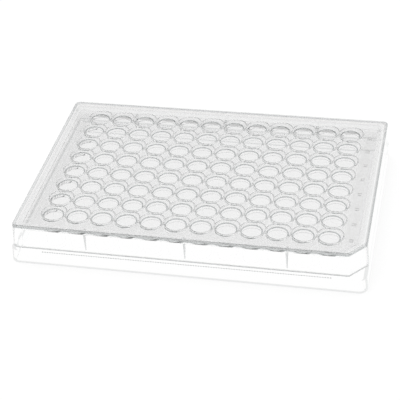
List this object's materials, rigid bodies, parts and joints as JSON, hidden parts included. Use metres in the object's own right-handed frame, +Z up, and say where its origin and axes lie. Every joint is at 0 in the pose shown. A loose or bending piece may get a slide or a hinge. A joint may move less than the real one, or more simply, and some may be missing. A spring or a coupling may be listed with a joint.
{
  "type": "well plate with lid",
  "caption": "Clear moulded well plate on an open flange, with rows of round flat-bottomed wells and a loose clear lid resting on its rim.",
  "frame": {"origin": "middle of the footprint, on the surface that the flange stands on", "axes": "+X along the twelve columns, +Y along the eight rows, +Z up; the cut corner of well A1 is at +X, -Y"},
  "size_m": [0.1278, 0.0854, 0.0157],
  "materials": {
    "plate_plastic": "clear, polished",
    "lid_plastic": "clear, polished"
  },
  "bodies": {
    "root": {"well_plate": "plate_plastic", "lid": "lid_plastic"}
  },
  "joints": []
}
